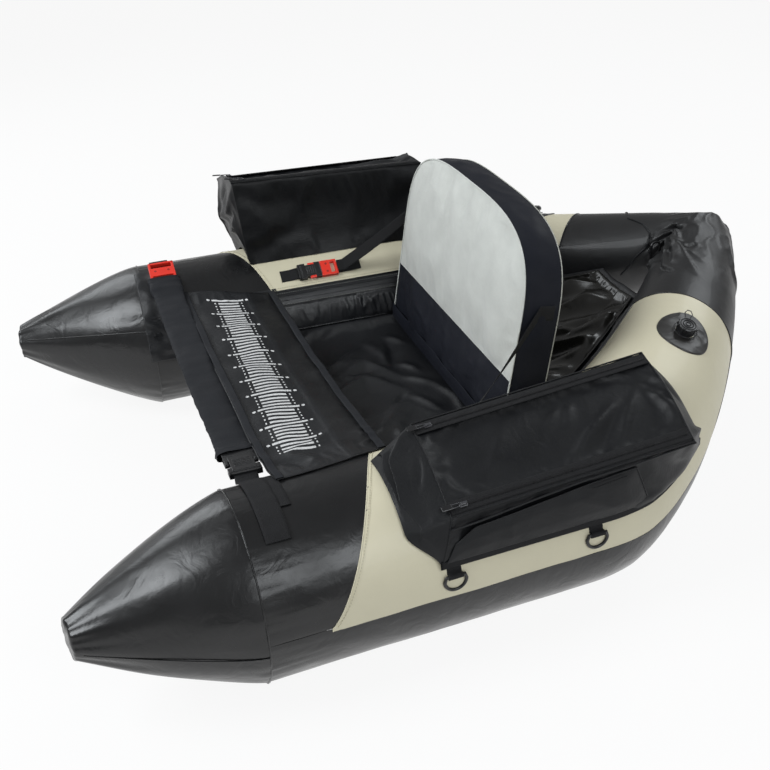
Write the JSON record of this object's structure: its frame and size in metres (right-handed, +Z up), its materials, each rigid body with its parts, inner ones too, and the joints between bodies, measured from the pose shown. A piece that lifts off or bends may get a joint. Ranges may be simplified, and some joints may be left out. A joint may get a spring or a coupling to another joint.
{
  "type": "float tube",
  "caption": "One-person inflatable float tube with two coned pontoons, a slung seat, a folding backrest, an apron and zipped armrest pockets.",
  "frame": {"origin": "on the floor, below the middle of the box round the whole craft", "axes": "+Z up, +Y towards the closed stern, +X to the sitter's left"},
  "size_m": [1.1398, 1.3231, 0.5196],
  "materials": {
    "beige_pvc": "beige coated cloth, matte",
    "black_nylon": "navy-black coated nylon",
    "black_plastic": "moulded black plastic",
    "black_pvc": "black reinforced PVC, semi-gloss",
    "bladder_film": "thin translucent film",
    "foam": "light seat foam",
    "grey_cloth": "light grey mesh cloth",
    "liner_film": "glossy black coated sheet",
    "red_plastic": "moulded red plastic",
    "valve_rubber": "black rubber",
    "webbing": "black woven webbing"
  },
  "bodies": {
    "hull": {"bay_liner": "liner_film", "cross_strap": "black_nylon", "left_backrest_strap": "webbing", "left_bladder": "bladder_film", "left_cross_socket": "black_plastic", "left_cross_webbing": "webbing", "left_deck_panel": "beige_pvc", "left_fore_panel": "black_pvc", "left_front_ring_tab": "webbing", "left_inner_wall": "black_nylon", "left_keel_panel": "black_pvc", "left_nose_cone": "black_pvc", "left_pocket": "black_nylon", "left_rear_ring_tab": "webbing", "left_strap_buckle": "black_plastic", "left_strap_tab": "webbing", "left_valve_base": "black_plastic", "left_valve_patch": "valve_rubber", "left_valve_tether": "valve_rubber", "right_backrest_strap": "webbing", "right_bladder": "bladder_film", "right_cross_socket": "black_plastic", "right_cross_webbing": "webbing", "right_deck_panel": "beige_pvc", "right_fore_panel": "black_pvc", "right_front_ring_tab": "webbing", "right_inner_wall": "black_nylon", "right_keel_panel": "black_pvc", "right_nose_cone": "black_pvc", "right_pocket": "black_nylon", "right_rear_ring_tab": "webbing", "right_strap_buckle": "black_plastic", "right_strap_tab": "webbing", "right_valve_base": "black_plastic", "right_valve_patch": "valve_rubber", "right_valve_tether": "valve_rubber", "seat_pan": "black_nylon", "stern_cover": "black_pvc"},
    "backrest": {"backrest_cover": "black_nylon", "backrest_front_panel": "grey_cloth", "backrest_lower_panel": "black_nylon", "backrest_foam": "foam"},
    "apron": {"apron": "black_nylon"},
    "left_valve_cap": {"left_valve_cap": "black_plastic"},
    "left_front_ring": {"left_front_ring": "black_plastic"},
    "left_rear_ring": {"left_rear_ring": "black_plastic"},
    "left_inner_slider": {"left_inner_slider": "black_plastic"},
    "left_outer_slider": {"left_outer_slider": "black_plastic"},
    "left_strap_tongue": {"left_strap_tongue": "red_plastic", "left_strap_tail": "webbing"},
    "left_cross_tongue": {"left_cross_tongue": "black_plastic"},
    "right_valve_cap": {"right_valve_cap": "black_plastic"},
    "right_front_ring": {"right_front_ring": "black_plastic"},
    "right_rear_ring": {"right_rear_ring": "black_plastic"},
    "right_inner_slider": {"right_inner_slider": "black_plastic"},
    "right_outer_slider": {"right_outer_slider": "black_plastic"},
    "right_strap_tongue": {"right_strap_tongue": "red_plastic", "right_strap_tail": "webbing"},
    "right_cross_tongue": {"right_cross_tongue": "red_plastic"},
    "stern_zip_pull": {"stern_zip_pull": "black_plastic"}
  },
  "joints": [
    {"name": "backrest_fold", "type": "hinge", "parent": "hull", "child": "backrest", "pos_m": [0, 0.05323, 0.16085], "axis": [1, 0, 0], "range_deg": [0, 72], "deforming": ["left_backrest_strap", "right_backrest_strap"]},
    {"name": "apron_lift", "type": "hinge", "parent": "hull", "child": "apron", "pos_m": [-0.31717, -0.24589, 0.23435], "axis": [-0.0368, -0.9993, 0], "range_deg": [0, 75]},
    {"name": "left_cap_turn", "type": "hinge", "parent": "hull", "child": "left_valve_cap", "pos_m": [0.29114, 0.38716, 0.31873], "axis": [0.3411, 0.128, 0.9313], "continuous": true},
    {"name": "left_front_ring_swing", "type": "hinge", "parent": "hull", "child": "left_front_ring", "pos_m": [0.56156, -0.13475, 0.1696], "axis": [0.0368, -0.9993, 0], "range_deg": [0, 100]},
    {"name": "left_rear_ring_swing", "type": "hinge", "parent": "hull", "child": "left_rear_ring", "pos_m": [0.55328, 0.09025, 0.1696], "axis": [0.0368, -0.9993, 0], "range_deg": [0, 100]},
    {"name": "left_inner_zip", "type": "slide", "parent": "hull", "child": "left_inner_slider", "axis": [0, 0.9961, 0.0885], "range_m": [0, 0.347]},
    {"name": "left_outer_zip", "type": "slide", "parent": "hull", "child": "left_outer_slider", "axis": [0, 0.9972, 0.0753], "range_m": [0, 0.346]},
    {"name": "left_strap_release", "type": "slide", "parent": "hull", "child": "left_strap_tongue", "axis": [-0.0368, 0.9993, 0], "range_m": [0, 0.028], "deforming": ["left_backrest_strap"]},
    {"name": "left_cross_release", "type": "slide", "parent": "hull", "child": "left_cross_tongue", "axis": [-0.9945, 0, -0.1045], "range_m": [0, 0.034], "deforming": ["cross_strap"]},
    {"name": "right_cap_turn", "type": "hinge", "parent": "hull", "child": "right_valve_cap", "pos_m": [-0.29114, 0.38716, 0.31873], "axis": [-0.3411, 0.128, 0.9313], "continuous": true},
    {"name": "right_front_ring_swing", "type": "hinge", "parent": "hull", "child": "right_front_ring", "pos_m": [-0.56156, -0.13475, 0.1696], "axis": [0.0368, 0.9993, 0], "range_deg": [0, 100]},
    {"name": "right_rear_ring_swing", "type": "hinge", "parent": "hull", "child": "right_rear_ring", "pos_m": [-0.55328, 0.09025, 0.1696], "axis": [0.0368, 0.9993, 0], "range_deg": [0, 100]},
    {"name": "right_inner_zip", "type": "slide", "parent": "hull", "child": "right_inner_slider", "axis": [0, 0.9985, -0.0547], "range_m": [0, 0.361]},
    {"name": "right_outer_zip", "type": "slide", "parent": "hull", "child": "right_outer_slider", "axis": [0, 0.9991, -0.042], "range_m": [0, 0.36]},
    {"name": "right_strap_release", "type": "slide", "parent": "hull", "child": "right_strap_tongue", "axis": [0.0368, 0.9993, 0], "range_m": [0, 0.028], "deforming": ["right_backrest_strap"]},
    {"name": "right_cross_release", "type": "slide", "parent": "hull", "child": "right_cross_tongue", "axis": [-0.9504, 0.035, 0.309], "range_m": [0, 0.034]},
    {"name": "stern_pull_swing", "type": "hinge", "parent": "hull", "child": "stern_zip_pull", "pos_m": [0, 0.50094, 0.33769], "axis": [-1, 0, 0], "range_deg": [0, 60]}
  ]
}
